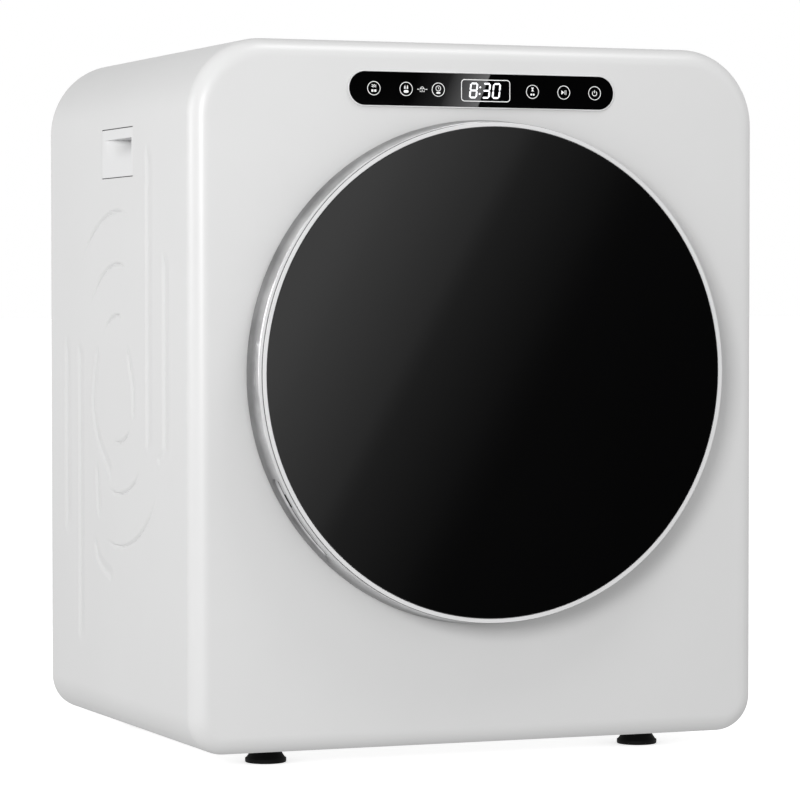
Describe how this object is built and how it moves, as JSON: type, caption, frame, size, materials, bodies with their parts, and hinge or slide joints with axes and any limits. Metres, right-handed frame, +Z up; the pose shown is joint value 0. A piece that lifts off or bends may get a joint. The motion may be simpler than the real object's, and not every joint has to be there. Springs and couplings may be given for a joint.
{
  "type": "clothes dryer",
  "caption": "Compact front-loading tumble dryer: round-cornered cabinet, round glass door, touch strip, belt-driven drum, heater, blower, rear exhaust collar.",
  "frame": {"origin": "on the floor plane, under the middle of the whole dryer including the door and the exhaust collar", "axes": "+Z up; the door faces -Y; +X is to the right of a person who faces the door"},
  "size_m": [0.6, 0.5476, 0.702],
  "materials": {
    "cabinet_white": "satin",
    "galvanised": "satin",
    "foot_black": "matte",
    "grip_white": "satin",
    "glass_black": "gloss",
    "ring_silver": "satin",
    "ring_grey": "gloss",
    "plastic_grey": "matte",
    "plastic_dark": "matte",
    "seal_grey": "matte",
    "board_green": "satin",
    "felt": "matte",
    "drum_steel": "satin",
    "lifter_plastic": "gloss",
    "bearing_bronze": "satin",
    "cast_grey": "satin",
    "duct_metal": "satin",
    "heater_metal": "satin",
    "thermostat_black": "satin",
    "motor_steel": "satin",
    "shaft_steel": "satin",
    "belt_black": "matte",
    "roller_white": "satin",
    "filter_blue": "satin",
    "filter_mesh": "satin",
    "screw_zinc": "satin"
  },
  "bodies": {
    "cabinet": {"cabinet_wrap": "cabinet_white", "front_panel": "cabinet_white", "rear_panel": "galvanised", "rear_screws": "screw_zinc", "base_plate": "galvanised", "side_grip_left": "grip_white", "side_grip_right": "grip_white", "hinge_bracket": "motor_steel", "hinge_pin": "shaft_steel", "latch_housing": "plastic_dark", "door_switch": "plastic_dark", "control_bezel": "ring_silver", "control_glass": "glass_black", "display_board": "board_green", "control_housing": "plastic_dark", "power_module": "plastic_dark", "front_bulkhead": "galvanised", "door_throat": "plastic_grey", "front_felt_seal": "felt", "rear_bulkhead": "galvanised", "rear_felt_seal": "felt", "bearing_housing": "cast_grey", "drum_bearing": "bearing_bronze", "lint_duct": "plastic_dark", "blower_housing": "plastic_dark", "exhaust_duct": "duct_metal", "exhaust_collar": "duct_metal", "heater_box": "galvanised", "ptc_heater": "heater_metal", "limit_thermostats": "thermostat_black", "motor_casing": "motor_steel", "motor_bracket": "galvanised", "idler_spring": "shaft_steel", "drum_belt": "belt_black", "power_gland": "thermostat_black", "motor_capacitor": "duct_metal"},
    "door": {"door_glass": "glass_black", "door_bezel": "ring_silver", "door_core": "plastic_dark", "door_side_ring": "ring_grey", "door_liner": "plastic_grey", "door_gasket": "seal_grey", "door_hook": "plastic_dark", "hinge_block": "cast_grey"},
    "drum": {"drum_shell": "drum_steel", "drum_back": "drum_steel", "drum_spider": "cast_grey", "drum_lifters": "lifter_plastic"},
    "motor_rotor": {"motor_rotor": "shaft_steel", "motor_pulley": "cast_grey", "blower_wheel": "roller_white"},
    "idler_arm": {"idler_arm": "motor_steel"},
    "idler_pulley": {"idler_pulley": "roller_white"},
    "lint_filter": {"lint_filter_frame": "filter_blue", "lint_filter_mesh": "filter_mesh"},
    "switch_plunger": {"switch_plunger": "roller_white"},
    "foot_front_left": {"foot_front_left": "foot_black"},
    "foot_front_right": {"foot_front_right": "foot_black"},
    "foot_rear_left": {"foot_rear_left": "foot_black"},
    "foot_rear_right": {"foot_rear_right": "foot_black"}
  },
  "joints": [
    {"name": "door_hinge", "type": "hinge", "parent": "cabinet", "child": "door", "pos_m": [0.234, -0.25515, 0.3806], "axis": [0, 0, 1], "range_deg": [0, 120]},
    {"name": "drum_spin", "type": "hinge", "parent": "cabinet", "child": "drum", "pos_m": [0, 0.18885, 0.3806], "axis": [0, 1, 0], "continuous": true},
    {"name": "motor_spin", "type": "hinge", "parent": "cabinet", "child": "motor_rotor", "pos_m": [0.205, -0.09315, 0.096], "axis": [0, 1, 0], "continuous": true},
    {"name": "idler_swing", "type": "hinge", "parent": "cabinet", "child": "idler_arm", "pos_m": [0.128, 0.01585, 0.056], "axis": [0, 1, 0], "range_deg": [0, 12], "stiffness_Nm_per_rad": 1.5, "springref_deg": -20.05},
    {"name": "idler_spin", "type": "hinge", "parent": "idler_arm", "child": "idler_pulley", "pos_m": [0.16, 0.01585, 0.078], "axis": [0, 1, 0], "continuous": true},
    {"name": "filter_slide", "type": "slide", "parent": "cabinet", "child": "lint_filter", "axis": [0, 0, 1], "range_m": [0, 0.075]},
    {"name": "switch_press", "type": "slide", "parent": "cabinet", "child": "switch_plunger", "axis": [0, 1, 0], "range_m": [0, 0.0022], "stiffness_N_per_m": 300, "springref_m": -0.002},
    {"name": "foot_front_left_turn", "type": "hinge", "parent": "cabinet", "child": "foot_front_left", "pos_m": [-0.201, -0.16615, 0.016], "axis": [0, 0, -1], "range_deg": [0, 2400]},
    {"name": "foot_front_right_turn", "type": "hinge", "parent": "cabinet", "child": "foot_front_right", "pos_m": [0.201, -0.16615, 0.016], "axis": [0, 0, -1], "range_deg": [0, 2400]},
    {"name": "foot_rear_left_turn", "type": "hinge", "parent": "cabinet", "child": "foot_rear_left", "pos_m": [-0.201, 0.16485, 0.016], "axis": [0, 0, -1], "range_deg": [0, 2400]},
    {"name": "foot_rear_right_turn", "type": "hinge", "parent": "cabinet", "child": "foot_rear_right", "pos_m": [0.201, 0.16485, 0.016], "axis": [0, 0, -1], "range_deg": [0, 2400]}
  ],
  "couplings": [
    {"joint": "motor_spin", "follows": "drum_spin", "ratio": 22.6},
    {"joint": "idler_spin", "follows": "drum_spin", "ratio": -18.226}
  ]
}
